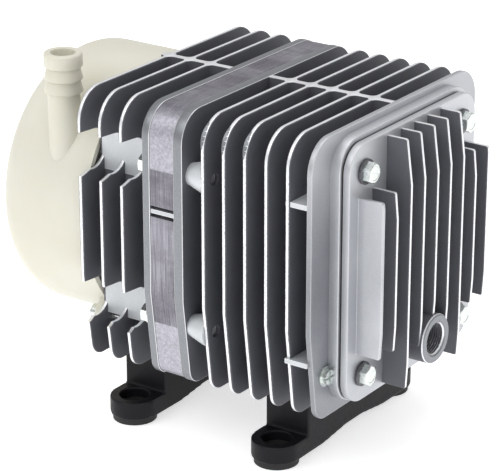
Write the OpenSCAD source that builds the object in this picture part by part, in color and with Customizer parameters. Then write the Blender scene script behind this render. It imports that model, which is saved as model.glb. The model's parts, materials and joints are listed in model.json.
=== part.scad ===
// Linear free-piston air pump: finned motor and cylinder castings around a laminated stator,
// a finned discharge head, a round plastic intake tank with a hose nozzle, and two mounting bars.
// Millimetres. +X is the piston axis, towards the discharge head. +Z is up. The origin lies on
// the floor, at the centre of the four mounting holes.

/* [Body] */
// Width of the castings across the fins
body_w = 159; // [150:1:192]
// Height of the castings over the fins
body_h = 152; // [144:1:184]
// Corner radius of the fins at the top
corner_r = 17; // [12:1:22]
// Height of the castings' underside above the floor
foot_h = 39; // [32:1:47]

/* [Fins] */
// Pitch of the front casting's fins
front_pitch = 12.9; // [11:0.1:15.5]
// Pitch of the rear casting's fins
rear_pitch = 13.6; // [11.3:0.1:16.4]
// Thickness of a casting fin
fin_t = 2.6; // [2:0.1:3.2]
// Pitch of the fins on the head cover
head_pitch = 13; // [11.5:0.1:14]
// Height of the fins on the head cover
head_fin_h = 14.5; // [11:0.5:18]

/* [Motor] */
// Length of the lamination stack
stator_l = 14.9; // [12.4:0.1:18]
// Radius of the bore between the two poles
pole_r = 23; // [22:0.5:25]
// Magnet radius
magnet_r = 20.9; // [18:0.1:21.5]

/* [Cylinder] */
// Cylinder bore
bore_d = 60; // [50:1:62]
// Piston travel each way from rest
stroke = 5.5; // [4:0.5:6]

/* [Tank] */
// Outer radius of the intake tank
tank_r = 74.5; // [62:0.5:76]
// Length of the tank's wall before its crown
tank_l = 63; // [52:1:76]
// Radius of the rounded rim of the tank
tank_knuckle = 16; // [12:1:30]
// Radius of the hose nozzle's barbs
barb_r = 10.4; // [9:0.1:12]

/* [Feet] */
// Distance between the mounting bars, hole to hole
foot_dx = 94; // [79:1:104]
// Distance between the mounting holes of one bar
foot_dy = 110; // [100:1:118]
// Outer radius of a mounting cup
cup_r = 13.5; // [12:0.5:15]

/* [Hidden] */
$fn = 64;
zc = foot_h + body_h / 2;             // height of the piston axis
hw = body_w / 2;
hh = body_h / 2;
front_fins = 5;
rear_fins = 3;
flange_t = 5.9;                       // front casting flange against the stator
rear_flange_t = 4.7;
plate_t = 3;                          // last flange, under the head
wall = 5;
core_y = hw - 19.5;                   // half width of the castings' core
core_z = hh - 18.5;
cave_y = core_y - wall;               // half width of the motor cavity
cave_z = core_z - 4;

stator_x1 = -1;
stator_x0 = stator_x1 - stator_l;
mid_x = (stator_x0 + stator_x1) / 2;
rear_x1 = stator_x0;
rear_x0 = rear_x1 - rear_flange_t - rear_fins * rear_pitch - fin_t / 2;
front_x0 = stator_x1;
front_x1 = front_x0 + flange_t + (front_fins + 1) * front_pitch + plate_t / 2;
land_l = 5.6;
land_x1 = front_x1 + land_l;
gasket_t = 0.8;
cover_x0 = land_x1 + gasket_t;
cover_t = 4;
cover_x1 = cover_x0 + cover_t;

bolt_y = hw - 9;                      // through-bolts that clamp the castings to the stator
bolt_z = hh - 34;
boss_r = 9;
notch_r = 12;

liner_r = bore_d / 2 + 3;
sleeve_r = liner_r + 5;
valve_x0 = front_x1 - 6.6;            // rear face of the valve plate, the end of the cylinder
valve_t = 5;
valve_r = liner_r + 3.5;
valve_x1 = valve_x0 + valve_t;
recess_r = valve_r + 4.5;
crown_x1 = valve_x0 - 11;             // front face of the piston crown at rest
crown_t = 5;
skirt_l = 30;
piston_r = bore_d / 2 - 0.05;
rod_r = 6;
suction_lift = 1.1;
discharge_lift = 1.5;

port_z = -(hh - 27);                  // discharge port, measured from the piston axis
port_r = 13.5;
port_bore_r = 8.33;
cover_y = hw - 18;
cover_z = hh - 6;
land_y = cover_y + 1.5;
head_bolt_y = cover_y - 14;
head_bolt_z = cover_z - 15;

web_t = 4;                            // wall between the motor and the tank
hub_x1 = rear_x0 + 15.5;
tank_gasket_t = 0.8;
tank_x = rear_x0 - tank_gasket_t;
tank_t = 3;
crown_h = 5.5;                        // rise of the tank's shallow end
lug_r = 7;
lug_d = tank_r + lug_r - 0.5;         // distance of the tank's screws from the piston axis
nozzle_x = tank_x - 23.6;
nozzle_y = 15 - tank_r;
nozzle_z = tank_r + 13.5;              // top of the nozzle, measured from the piston axis
nozzle_bore_r = 6.5;

coil_half_x = 11.6;                   // winding, beyond the side of the pole
pole_y = 20;
coil_in = 0.4;
coil_z0 = pole_r + 3;
coil_z1 = cave_z - 1;
bobbin_t = 1.5;
arm_x0 = mid_x - 20.5;
arm_x1 = mid_x + 20.5;
arm_core_r = 13;

foot_x = foot_dx / 2;
bar_w = 2 * cup_r;
bar_y = foot_dy / 2 - 10;
cup_z0 = 3.5;
cup_z1 = 13.4;
cup_hole_r = 8.1;
foot_screw_y = 28;

module on_axis(x0, x1) {
    translate([x0, 0, zc])
        rotate([90, 0, 90])
            linear_extrude(x1 - x0)
                children();
}

module rod_x(x0, x1, r, y = 0, z = 0) {
    translate([x0, y, zc + z])
        rotate([0, 90, 0])
            cylinder(h = x1 - x0, r = r);
}

module cone_x(x0, x1, r0, r1, y = 0, z = 0) {
    translate([x0, y, zc + z])
        rotate([0, 90, 0])
            cylinder(h = x1 - x0, r1 = r0, r2 = r1);
}

module box(x0, x1, y0, y1, z0, z1) {
    translate([x0, y0, z0])
        cube([x1 - x0, y1 - y0, z1 - z0]);
}

function unit(v) = v / norm(v);
function back_edge(p, i) = unit(p[(i + len(p) - 1) % len(p)] - p[i]);
function next_edge(p, i) = unit(p[(i + 1) % len(p)] - p[i]);
function half_turn(p, i) = acos(back_edge(p, i) * next_edge(p, i)) / 2;
function arc_ends(p, i, r) =
    let (t = r / tan(half_turn(p, i))) [p[i] + back_edge(p, i) * t, p[i] + next_edge(p, i) * t];
function arc_centre(p, i, r) =
    p[i] + unit(back_edge(p, i) + next_edge(p, i)) * r / sin(half_turn(p, i));

// A convex outline whose corners are rounded by true arcs. A radius of 0 leaves a corner sharp.
module rounded(p, radii) {
    polygon([for (i = [0 : len(p) - 1]) each radii[i] > 0 ? arc_ends(p, i, radii[i]) : [p[i]]]);
    for (i = [0 : len(p) - 1])
        if (radii[i] > 0)
            translate(arc_centre(p, i, radii[i]))
                circle(radii[i]);
}

module rounded_box(half_y, half_z, r) {
    rounded([[-half_y, -half_z], [half_y, -half_z], [half_y, half_z], [-half_y, half_z]],
            [r, r, r, r]);
}

// Outline shared by the fins, the flanges and the stator: upright sides that draw in below.
module body_outline(d = 0) {
    w = hw - d;
    h = hh - d;
    rounded([[-w + 6.5, -h], [w - 6.5, -h], [w, -h * 0.35], [w, h], [-w, h], [-w, -h * 0.35]],
            [9, 9, 0, corner_r - d, corner_r - d, 0]);
}

// Pocket that clears a through-bolt's head, in one quarter of the outline.
module notch(side_y, side_z) {
    cz = side_z * bolt_z;
    translate([side_y * bolt_y, cz])
        circle(notch_r - 0.5);
    polygon([[side_y * bolt_y, cz + notch_r - 0.5], [side_y * (hw + 5), cz + notch_r + 0.5],
             [side_y * (hw + 5), cz - notch_r - 1.5], [side_y * bolt_y, cz - notch_r + 0.5]]);
}

module at_bolts() {
    for (sy = [-1, 1])
        for (sz = [-1, 1])
            translate([0, sy * bolt_y, sz * bolt_z])
                children();
}

module at_head_bolts() {
    for (sy = [-1, 1])
        for (sz = [-1, 1])
            translate([0, sy * head_bolt_y, sz * head_bolt_z])
                children();
}

module at_lugs() {
    for (a = [45 : 90 : 315])
        translate([0, 0, zc])
            rotate([a, 0, 0])
                translate([0, lug_d, -zc])
                    children();
}

// Ears on the tank's rim that take its screws.
module lugs(x0, x1, r) {
    at_lugs() {
        rod_x(x0, x1, r);
        box(x0, x1, -lug_r - 2, 0, zc - r + 0.5, zc + r - 0.5);
    }
}

module at_feet() {
    for (sx = [-1, 1])
        for (sy = [-1, 1])
            translate([sx * foot_x, sy * foot_dy / 2, 0])
                children();
}

module hex_bolt_x(x0, head_x, across, head_h, r) {
    rod_x(x0, head_x + 0.01, r);
    translate([head_x, 0, zc])
        rotate([0, 90, 0])
            cylinder(h = head_h, r = across / sqrt(3), $fn = 6);
}

// Vertical pads under a casting that the foot screws enter.
module foot_pads(x) {
    for (sy = [-1, 1])
        translate([x, sy * foot_screw_y, foot_h])
            cylinder(h = hh - core_z + 1, r = 8);
}

module foot_pad_holes(x) {
    for (sy = [-1, 1])
        translate([x, sy * foot_screw_y, foot_h - 1])
            cylinder(h = 13, r = 3);
}

// ---- castings and stator ----

module rear_casting() {
    color([0.62, 0.63, 0.65])
        difference() {
            union() {
                difference() {
                    for (i = [1 : rear_fins])
                        on_axis(rear_x1 - rear_flange_t - i * rear_pitch - fin_t / 2,
                                rear_x1 - rear_flange_t - i * rear_pitch + fin_t / 2)
                            body_outline();
                    for (sy = [-1, 1])
                        for (sz = [-1, 1])
                            on_axis(rear_x0 - 1, rear_x1 - rear_flange_t)
                                notch(sy, sz);
                }
                on_axis(rear_x1 - rear_flange_t, rear_x1)
                    body_outline();
                on_axis(rear_x0, rear_x1)
                    rounded_box(core_y, core_z, 10);
                for (s = [0, 1])
                    mirror([0, 0, s])
                        translate([0, 0, s ? -2 * zc : 0])
                            box(rear_x0, rear_x1, -1.8, 1.8, zc + core_z - 1, zc + hh);
                at_lugs()
                    rod_x(rear_x0, rear_x0 + rear_pitch + 1, 6);
                foot_pads(-foot_x);
                translate([rear_x0 + 1.5 * rear_pitch, core_y - 1, zc])
                    rotate([-90, 0, 0])
                        cylinder(h = hw - core_y + 1.3, r = 10);
            }
            on_axis(rear_x0 + web_t, rear_x1 + 1)
                rounded_box(cave_y, cave_z, 6);
            rod_x(rear_x0 - 1, rear_x0 + web_t + 1, 9);
            for (a = [0 : 45 : 315])
                rod_x(rear_x0 - 1, rear_x0 + web_t + 1, 6, 28 * cos(a), 28 * sin(a));
            at_bolts()
                rod_x(rear_x1 - rear_flange_t - 1, rear_x1 + 1, 3.3);
            at_lugs()
                rod_x(rear_x0 - 1, rear_x0 + 11, 2);
            foot_pad_holes(-foot_x);
            translate([rear_x0 + 1.5 * rear_pitch, cave_y - 1, zc])
                rotate([-90, 0, 0])
                    cylinder(h = 30, r = 6);
        }
    color([0.62, 0.63, 0.65])
        difference() {
            rod_x(rear_x0, hub_x1, 11);
            rod_x(rear_x0 - 1, hub_x1 + 1, 9);
        }
}

module stator_core() {
    key_z = 20;
    color([0.55, 0.54, 0.57])
        difference() {
            on_axis(stator_x0, stator_x1)
                difference() {
                    body_outline(0.4);
                    difference() {
                        rounded_box(cave_y, cave_z, 6);
                        for (s = [-1, 1])
                            translate([-pole_y, s > 0 ? 10 : -cave_z - 1])
                                square([2 * pole_y, cave_z - 9]);
                    }
                    circle(pole_r);
                    for (s = [-1, 1]) {
                        translate([s > 0 ? hw - 3.6 : -hw - 1, key_z - 3])
                            square([4.6, 6]);
                        translate([key_z - 3, s > 0 ? hh - 3.6 : -hh - 1])
                            square([6, 4.6]);
                    }
                }
            at_bolts()
                rod_x(stator_x0 - 1, stator_x1 + 1, 3.3);
        }
}

// Wedges driven into the slots of the stator's outside.
module stator_keys() {
    key_z = 20;
    color([0.85, 0.86, 0.88])
        on_axis(stator_x0, stator_x1)
            for (s = [-1, 1]) {
                translate([s > 0 ? hw - 3.6 : -hw + 0.6, key_z - 1.1])
                    square([3, 2.2]);
                translate([key_z - 1.1, s > 0 ? hh - 3.6 : -hh + 0.6])
                    square([2.2, 3]);
            }
}

module front_casting() {
    fin1 = front_x0 + flange_t + front_pitch;
    plate_x = front_x1 - plate_t;
    color([0.62, 0.63, 0.65])
        difference() {
            union() {
                on_axis(front_x0, front_x0 + flange_t)
                    body_outline();
                for (i = [1 : front_fins])
                    on_axis(front_x0 + flange_t + i * front_pitch - fin_t / 2,
                            front_x0 + flange_t + i * front_pitch + fin_t / 2)
                        body_outline();
                on_axis(plate_x, front_x1)
                    body_outline();
                on_axis(front_x0, plate_x + 1)
                    rounded_box(core_y, core_z, 10);
                on_axis(plate_x, land_x1)
                    translate([0, 1])
                        rounded_box(land_y, cover_z + 1.5, 16);
                for (s = [0, 1])
                    mirror([0, 0, s])
                        translate([0, 0, s ? -2 * zc : 0])
                            box(front_x0, plate_x + 1, -1.8, 1.8, zc + core_z - 1, zc + hh);
                at_bolts()
                    cone_x(front_x0 + flange_t - 1, fin1, boss_r - 0.8, boss_r);
                for (sy = [-1, 1])
                    for (z = [bolt_z, -bolt_z - 1])
                        box(plate_x - front_pitch, plate_x + 1, min(sy * core_y, sy * (hw - 0.5)),
                            max(sy * core_y, sy * (hw - 0.5)), zc + z - 1.3, zc + z + 1.3);
                foot_pads(foot_x);
            }
            difference() {
                on_axis(front_x0 - 1, plate_x - 10)
                    rounded_box(cave_y, cave_z, 6);
                rod_x(front_x0 + 25, plate_x, sleeve_r);
            }
            rod_x(front_x0 + 24, valve_x0 + 0.1, liner_r);
            rod_x(valve_x0, valve_x1 + 0.1, valve_r + 0.1);
            rod_x(valve_x1, land_x1 + 1, recess_r);
            on_axis(front_x1 - 1, land_x1 + 1) {
                translate([0, port_z])
                    circle(12);
                translate([-12, port_z])
                    square([24, -port_z]);
            }
            at_bolts()
                rod_x(front_x0 - 1, fin1 + fin_t, 3);
            at_head_bolts()
                rod_x(plate_x - 6, land_x1 + 1, 3);
            rod_x(plate_x - 1, front_x1 + 1, 2.2, -hw + 13, -bolt_z - 10);
            rod_x(front_x1, land_x1 + 1, 5.8, -hw + 13, -bolt_z - 10);
            foot_pad_holes(foot_x);
        }
}

module through_bolts() {
    color([0.83, 0.84, 0.84])
        at_bolts()
            mirror([1, 0, 0])
                hex_bolt_x(-(front_x0 + flange_t + front_pitch - 1.5), -(rear_x1 - rear_flange_t - 1.6),
                           10, 4.2, 2.95);
}

module through_bolt_washers() {
    color([0.8, 0.81, 0.82])
        at_bolts()
            difference() {
                rod_x(rear_x1 - rear_flange_t - 1.6, rear_x1 - rear_flange_t, 6.2);
                rod_x(rear_x1 - rear_flange_t - 2, rear_x1 - rear_flange_t + 1, 3.2);
            }
}

// ---- coils ----

module coil_former(sz) {
    iy = pole_y + coil_in;
    ix = stator_l / 2 + coil_in;
    color([0.9, 0.88, 0.78])
        translate([mid_x, 0, zc])
            mirror([0, 0, sz < 0 ? 1 : 0])
                difference() {
                    box(-ix - coil_half_x, ix + coil_half_x, -iy - coil_half_x, iy + coil_half_x,
                        coil_z0, coil_z1);
                    box(-ix, ix, -iy, iy, coil_z0 - 1, coil_z1 + 1);
                    difference() {
                        box(-ix - 20, ix + 20, -iy - 20, iy + 20, coil_z0 + bobbin_t,
                            coil_z1 - bobbin_t);
                        box(-ix - bobbin_t, ix + bobbin_t, -iy - bobbin_t, iy + bobbin_t, coil_z0,
                            coil_z1);
                    }
                }
}

module coil_wire(sz) {
    iy = pole_y + coil_in + bobbin_t + 0.1;
    ix = stator_l / 2 + coil_in + bobbin_t + 0.1;
    t = coil_half_x - bobbin_t - 0.8;
    color([0.72, 0.4, 0.2])
        translate([mid_x, 0, zc])
            mirror([0, 0, sz < 0 ? 1 : 0])
                difference() {
                    box(-ix - t, ix + t, -iy - t, iy + t, coil_z0 + bobbin_t + 0.1,
                        coil_z1 - bobbin_t - 0.1);
                    box(-ix, ix, -iy, iy, coil_z0, coil_z1);
                }
}

module upper_coil_bobbin() {
    coil_former(1);
}

module lower_coil_bobbin() {
    coil_former(-1);
}

module upper_coil_winding() {
    coil_wire(1);
}

module lower_coil_winding() {
    coil_wire(-1);
}

module terminal_block() {
    color([0.93, 0.93, 0.9])
        difference() {
            box(rear_x0 + 10, rear_x0 + 30, cave_y - 13, cave_y, zc - 30, zc - 10);
            for (x = [rear_x0 + 15, rear_x0 + 25])
                translate([x, cave_y - 14, zc - 20])
                    rotate([-90, 0, 0])
                        cylinder(h = 9, r = 3);
        }
}

module cord_gland() {
    gx = rear_x0 + 1.5 * rear_pitch;
    color([0.09, 0.09, 0.1])
        difference() {
            union() {
                translate([gx, cave_y - 2, zc])
                    rotate([-90, 0, 0])
                        cylinder(h = hw - cave_y + 3, r = 5.9);
                translate([gx, hw + 0.3, zc])
                    rotate([-90, 0, 0])
                        cylinder(h = 4.7, r = 9, $fn = 6);
            }
            translate([gx, cave_y - 3, zc])
                rotate([-90, 0, 0])
                    cylinder(h = 40, r = 3.3);
        }
}

// ---- moving parts ----

module armature_core() {
    color([0.45, 0.46, 0.48])
        difference() {
            union() {
                rod_x(arm_x0, arm_x1, arm_core_r);
                rod_x(arm_x1 - 0.1, arm_x1 + 2, magnet_r - 1);
            }
            rod_x(arm_x0 - 1, arm_x1 + 3, rod_r);
        }
}

module armature_magnets() {
    color([0.3, 0.3, 0.32])
        for (x = [arm_x0 + 0.2, mid_x + 4])
            difference() {
                rod_x(x, x + 16, magnet_r);
                rod_x(x - 1, x + 17, arm_core_r + 0.02);
            }
}

module spring_seat() {
    color([0.75, 0.75, 0.7])
        difference() {
            rod_x(arm_x0 - 2, arm_x0, magnet_r - 2.5);
            rod_x(arm_x0 - 3, arm_x0 + 1, rod_r);
        }
}

module piston_rod() {
    color([0.78, 0.79, 0.8])
        rod_x(rear_x0 - 6.5, crown_x1 - crown_t - 1, rod_r - 0.01);
}

module piston() {
    color([0.75, 0.75, 0.72])
        difference() {
            rod_x(crown_x1 - skirt_l, crown_x1, piston_r);
            difference() {
                rod_x(crown_x1 - skirt_l - 1, crown_x1 - crown_t, piston_r - 4);
                rod_x(crown_x1 - crown_t - 15, crown_x1, 11);
            }
            rod_x(crown_x1 - skirt_l - 1, crown_x1 - crown_t, rod_r);
            rod_x(crown_x1 - skirt_l - 1, crown_x1 + 1, 3.9);
            for (a = [0 : 60 : 300])
                rod_x(crown_x1 - crown_t - 1, crown_x1 + 1, 3.5, 17 * cos(a), 17 * sin(a));
            for (x = [crown_x1 - 10, crown_x1 - 16])
                difference() {
                    rod_x(x, x + 2.5, piston_r + 1);
                    rod_x(x - 1, x + 3.5, piston_r - 2.4);
                }
        }
}

module piston_rings() {
    color([0.2, 0.2, 0.21])
        for (x = [crown_x1 - 10, crown_x1 - 16])
            difference() {
                rod_x(x + 0.05, x + 2.45, piston_r + 0.03);
                rod_x(x - 1, x + 3.5, piston_r - 2.3);
            }
}

module suction_valve() {
    color([0.55, 0.57, 0.6])
        difference() {
            rod_x(crown_x1 + 0.05, crown_x1 + 0.85, 23);
            rod_x(crown_x1 - 1, crown_x1 + 2, 4);
        }
}

module valve_guard() {
    gx = crown_x1 + 0.85 + suction_lift + 0.2;
    color([0.7, 0.71, 0.73])
        difference() {
            union() {
                rod_x(crown_x1 - crown_t + 0.5, gx + 0.1, 3.89);
                rod_x(gx, gx + 2, 12);
            }
            translate([gx + 0.9, 0, zc])
                rotate([0, 90, 0])
                    cylinder(h = 2, r = 3, $fn = 6);
        }
}

// Helical spring around the rod, between the rear wall and the armature.
module return_spring() {
    wire = 1.5;
    coil_r = 14.5;
    turns = 6;
    steps = 20 * turns;
    sides = 8;
    x0 = rear_x0 + web_t + 0.2 + wire;
    x1 = arm_x0 - 2.2 - wire;
    rings = [for (i = [0 : steps])
                 for (j = [0 : sides - 1])
                     let (a = 360 * turns * i / steps, b = 360 * j / sides,
                          r = coil_r + wire * cos(b))
                     [x0 + (x1 - x0) * i / steps + wire * sin(b), r * cos(a), r * sin(a)]];
    skin = [for (i = [0 : steps - 1])
                for (j = [0 : sides - 1])
                    let (k = (j + 1) % sides)
                    each [[i * sides + j, (i + 1) * sides + j, (i + 1) * sides + k],
                          [i * sides + j, (i + 1) * sides + k, i * sides + k]]];
    start_cap = [for (j = [0 : sides - 1]) j];
    end_cap = [for (j = [sides - 1 : -1 : 0]) steps * sides + j];
    color([0.6, 0.62, 0.65])
        translate([0, 0, zc])
            polyhedron(rings, concat(skin, [start_cap], [end_cap]));
}

// ---- cylinder, valves and head ----

module cylinder_liner() {
    color([0.7, 0.7, 0.72])
        difference() {
            rod_x(front_x0 + 27, valve_x0, liner_r - 0.01);
            rod_x(front_x0 + 26, valve_x0 + 1, bore_d / 2);
        }
}

module valve_plate() {
    color([0.8, 0.8, 0.8])
        difference() {
            rod_x(valve_x0 + 0.1, valve_x1, valve_r);
            for (a = [0 : 45 : 315])
                rod_x(valve_x0 - 1, valve_x1 + 1, 3, 12 * cos(a), 12 * sin(a));
            rod_x(valve_x0 - 1, valve_x1 + 1, 2.9);
            difference() {
                rod_x(valve_x0 + 1.4, valve_x0 + 3.8, valve_r + 1);
                rod_x(valve_x0 + 1, valve_x0 + 4, valve_r - 1.8);
            }
        }
}

module valve_plate_seal() {
    color([0.1, 0.1, 0.1])
        translate([valve_x0 + 2.6, 0, zc])
            rotate([0, 90, 0])
                rotate_extrude()
                    translate([valve_r - 0.85, 0])
                        circle(0.9, $fn = 24);
}

module discharge_valve() {
    color([0.55, 0.57, 0.6])
        difference() {
            rod_x(valve_x1 + 0.05, valve_x1 + 1.05, 17);
            rod_x(valve_x1 - 1, valve_x1 + 3, 3);
        }
}

module discharge_spring() {
    color([0.6, 0.62, 0.65])
        for (i = [0 : 2])
            translate([valve_x1 + 1.5 + i * 0.75, 0, zc])
                rotate([0, 90, 0])
                    rotate_extrude()
                        translate([6.5 - i * 0.9, 0])
                            circle(0.36, $fn = 16);
}

module valve_stop() {
    color([0.7, 0.71, 0.73])
        difference() {
            union() {
                rod_x(valve_x1 - 4.5, valve_x1 + 4, 2.9);
                rod_x(valve_x1 + 3.6, valve_x1 + 5.4, 8.5);
            }
            translate([valve_x1 + 4.4, 0, zc])
                rotate([0, 90, 0])
                    cylinder(h = 2, r = 2.6, $fn = 6);
        }
}

module head_gasket() {
    color([0.12, 0.12, 0.13])
        difference() {
            on_axis(land_x1, cover_x0)
                difference() {
                    rounded_box(cover_y - 0.3, cover_z - 0.3, 14);
                    circle(recess_r);
                    translate([0, port_z])
                        circle(12);
                    translate([-12, port_z])
                        square([24, -port_z]);
                }
            at_head_bolts()
                rod_x(land_x1 - 1, cover_x0 + 1, 3.3);
        }
}

// Vertical cooling fin of the head, with a front edge that bows out slightly at mid height.
module head_fin(y, z0, z1) {
    t = 2.4;
    translate([0, y + t / 2, zc])
        rotate([90, 0, 0])
            linear_extrude(t)
                rounded([[cover_x1 - 1, z0], [cover_x1 + head_fin_h - 1.2, z0],
                         [cover_x1 + head_fin_h, z0 * 0.55 + z1 * 0.45],
                         [cover_x1 + head_fin_h - 1.4, z1], [cover_x1 - 1, z1]],
                        [0, 1, 0, 1.2, 0]);
}

module head_cover() {
    tall = cover_z - 2;
    short = head_bolt_z - 12.5;
    port_x = cover_x1 + head_fin_h + 1.5;
    color([0.62, 0.63, 0.65])
        difference() {
            union() {
                on_axis(cover_x0, cover_x1)
                    rounded_box(cover_y, cover_z, 14);
                for (s = [-1, 1]) {
                    head_fin(s * 4 * head_pitch, -short, short);
                    head_fin(s * 3 * head_pitch, -short, short + 1.5);
                    head_fin(s * 2 * head_pitch, -tall, tall);
                    head_fin(s * head_pitch, port_z, tall);
                }
                head_fin(0, port_z + 8, tall);
                rod_x(cover_x0 + 1, port_x - 1, port_r, 0, port_z);
                cone_x(port_x - 1, port_x, port_r, port_r - 0.8, 0, port_z);
            }
            rod_x(cover_x0 - 1, port_x + 1, port_bore_r, 0, port_z);
            cone_x(port_x - 1.4, port_x + 0.01, port_bore_r, port_bore_r + 1.2, 0, port_z);
            at_head_bolts()
                rod_x(cover_x0 - 1, cover_x1 + 1, 3.3);
            box(cover_x0 - 1, cover_x0 + 1.5, 1, 13, zc + cover_z - 4, zc + cover_z + 1);
        }
}

module head_bolts() {
    color([0.83, 0.84, 0.84])
        at_head_bolts()
            hex_bolt_x(front_x1 - 7.5, cover_x1 + 1.6, 10, 4.6, 2.95);
}

module head_washers() {
    color([0.8, 0.81, 0.82])
        at_head_bolts()
            difference() {
                rod_x(cover_x1, cover_x1 + 1.6, 6.6);
                rod_x(cover_x1 - 1, cover_x1 + 2, 3.2);
            }
}

module earth_screw() {
    color([0.8, 0.8, 0.74])
        translate([0, -hw + 13, -bolt_z - 10])
            difference() {
                union() {
                    rod_x(front_x1 - 2.9, front_x1 + 3, 2.1);
                    rod_x(front_x1, front_x1 + 1, 5.4);
                    rod_x(front_x1 + 1, front_x1 + 3.6, 4);
                }
                box(front_x1 + 2.4, front_x1 + 4, -5, 5, zc - 0.6, zc + 0.6);
                box(front_x1 + 2.4, front_x1 + 4, -0.6, 0.6, zc - 5, zc + 5);
            }
}

// ---- rear: guide bush, filter and tank ----

module rear_bush() {
    color([0.72, 0.55, 0.3])
        difference() {
            rod_x(rear_x0 + 0.5, hub_x1 - 0.5, 8.99);
            rod_x(rear_x0 - 1, hub_x1 + 1, rod_r + 0.04);
        }
}

module tank_gasket() {
    color([0.1, 0.1, 0.11])
        difference() {
            union() {
                rod_x(tank_x, rear_x0, tank_r - 0.4);
                lugs(tank_x, rear_x0, lug_r - 0.3);
            }
            rod_x(tank_x - 1, rear_x0 + 1, tank_r - 7);
            at_lugs()
                rod_x(tank_x - 1, rear_x0 + 1, 2.6);
        }
}

module filter_felt() {
    color([0.88, 0.88, 0.84])
        difference() {
            rod_x(rear_x0 - 11, rear_x0 - 0.1, tank_r - 8.5);
            rod_x(rear_x0 - 12, rear_x0 + 1, 14);
        }
}

module filter_retainer() {
    r = tank_r - 5;
    color([0.7, 0.71, 0.73])
        difference() {
            rod_x(rear_x0 - 12.5, rear_x0 - 11, r);
            rod_x(rear_x0 - 13, rear_x0 - 10, 12);
            for (ring = [[22, 30], [33, 20], [45, 15]])
                for (a = [0 : ring[1] : 359])
                    rod_x(rear_x0 - 13, rear_x0 - 10, 3.4, ring[0] * cos(a), ring[0] * sin(a));
        }
}

// The tank's solid form, inset by d: an upright wall, a rounded rim and a shallow crown.
module tank_form(d) {
    rim = tank_r - tank_knuckle;
    ball = pow(rim - 1, 2) / (2 * crown_h) + crown_h / 2;
    translate([tank_x, 0, zc])
        rotate([0, -90, 0]) {
            rotate_extrude() {
                square([tank_r - d, tank_l - tank_knuckle]);
                translate([rim, tank_l - tank_knuckle])
                    circle(tank_knuckle - d);
                square([rim, tank_l - d]);
            }
            intersection() {
                translate([0, 0, tank_l - d + crown_h - ball])
                    sphere(ball);
                translate([0, 0, tank_l - d - 2])
                    cylinder(h = 20, r = rim - 1);
            }
        }
}

module tube_x(x0, x1, r0, r1) {
    difference() {
        rod_x(x0, x1, r1);
        rod_x(x0 - 1, x1 + 1, r0);
    }
}

module filter_tank() {
    top = zc + nozzle_z;
    neck_r = barb_r - 1.7;
    color([0.93, 0.92, 0.84])
        difference() {
            union() {
                difference() {
                    union() {
                        tank_form(0);
                        translate([nozzle_x, nozzle_y, top - 66])
                            cylinder(h = 65, r = neck_r);
                    }
                    tank_form(tank_t);
                    rod_x(tank_x - 10, tank_x + 1, tank_r - tank_t);
                }
                for (z = [top - 21.7, top - 14.7])
                    translate([nozzle_x, nozzle_y, z])
                        cylinder(h = 6.4, r1 = barb_r, r2 = neck_r + 0.3);
                translate([nozzle_x, nozzle_y, top - 7.7])
                    cylinder(h = 6.7, r = barb_r);
                translate([nozzle_x, nozzle_y, top - 1])
                    cylinder(h = 1, r1 = barb_r, r2 = barb_r - 0.9);
                lugs(tank_x - 5, tank_x + 1, lug_r);
                tube_x(tank_x - 5, tank_x, tank_r - 7, tank_r - 1);
                tube_x(rear_x0 - 15.5, rear_x0 - 12.6, tank_r - 8, tank_r - 1);
            }
            rod_x(tank_x, tank_x + 5, lug_d + 2 * lug_r);
            rod_x(tank_x - 6, tank_x + 1, tank_r - 7);
            translate([nozzle_x, nozzle_y, top - 62])
                cylinder(h = 63, r = nozzle_bore_r);
            at_lugs()
                rod_x(tank_x - 6, tank_x + 1, 2.6);
        }
}

module tank_screws() {
    color([0.83, 0.84, 0.84])
        at_lugs() {
            rod_x(tank_x - 6, rear_x0 + 9, 2);
            difference() {
                rod_x(tank_x - 8.4, tank_x - 5, 4.2);
                box(tank_x - 9, tank_x - 7.2, -4.5, 4.5, zc - 0.6, zc + 0.6);
            }
        }
}

// ---- feet ----

// A mounting bar: its underside rises in the middle, and its screws enter from below.
module foot(x) {
    color([0.07, 0.07, 0.08])
        difference() {
            translate([x - bar_w / 2, 0, 0])
                rotate([90, 0, 90])
                    linear_extrude(bar_w)
                        polygon([[-bar_y, cup_z0], [-bar_y + 16, cup_z0], [-bar_y + 38, cup_z0 + 2.6],
                                 [bar_y - 38, cup_z0 + 2.6], [bar_y - 16, cup_z0], [bar_y, cup_z0],
                                 [bar_y, foot_h], [-bar_y, foot_h]]);
            for (sy = [-1, 1]) {
                translate([x, sy * foot_screw_y, 0])
                    cylinder(h = foot_h + 1, r = 3.3);
                translate([x, sy * foot_screw_y, 0])
                    cylinder(h = foot_h - 8, r = 7.2);
            }
        }
}

// The two cups at the ends of a bar, each with a wide hole for a mounting screw's head.
module cups(x) {
    color([0.07, 0.07, 0.08])
        for (s = [0, 1])
            mirror([0, s, 0])
                difference() {
                    union() {
                        translate([x, foot_dy / 2, cup_z0])
                            cylinder(h = cup_z1 - cup_z0, r = cup_r);
                        translate([x - bar_w / 2, bar_y, cup_z0])
                            cube([bar_w, foot_dy / 2 - bar_y, cup_z1 - cup_z0]);
                    }
                    translate([x - bar_w, bar_y - bar_w, 0])
                        cube([2 * bar_w, bar_w, foot_h]);
                    translate([x, foot_dy / 2, cup_z0 - 1])
                        cylinder(h = cup_z1, r = cup_hole_r);
                }
}

module rear_foot() {
    foot(-foot_x);
}

module front_foot() {
    foot(foot_x);
}

module rear_cups() {
    cups(-foot_x);
}

module front_cups() {
    cups(foot_x);
}

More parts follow.
